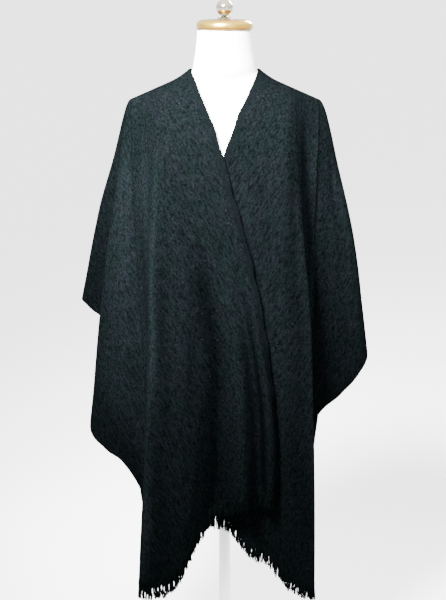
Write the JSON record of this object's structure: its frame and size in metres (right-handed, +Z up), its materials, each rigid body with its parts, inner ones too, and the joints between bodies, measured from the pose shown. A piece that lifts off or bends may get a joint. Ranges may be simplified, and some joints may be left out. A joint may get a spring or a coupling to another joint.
{
  "type": "ruana wrap on a dress form",
  "caption": "Open brushed wool ruana wrap with fringed ends, right front crossed over left, draped on a limbless white dress form with a brass neck cap and a round foot.",
  "frame": {"origin": "middle of the underside of the stand's round foot, on the floor", "axes": "+Z up, the front of the garment faces -Y, the wearer's right is at -X and the wearer's left at +X"},
  "size_m": [0.6194, 0.4127, 1.5269],
  "materials": {
    "brushed_wool": "brushed, hairy woven wool, near black charcoal",
    "fringe_wool": "loose twisted wool ends",
    "form_cover": "plain white jersey cover",
    "brass": "polished",
    "white_paint": "satin white"
  },
  "bodies": {
    "root": {"ruana_right_half": "brushed_wool", "ruana_left_half": "brushed_wool", "fringe_front_right": "fringe_wool", "fringe_back_right": "fringe_wool", "fringe_front_left": "fringe_wool", "fringe_back_left": "fringe_wool", "form_torso": "form_cover", "neck_cap": "brass", "cap_knob": "brass", "form_collar": "white_paint", "stand_pole": "white_paint", "stand_base": "white_paint"}
  },
  "joints": []
}
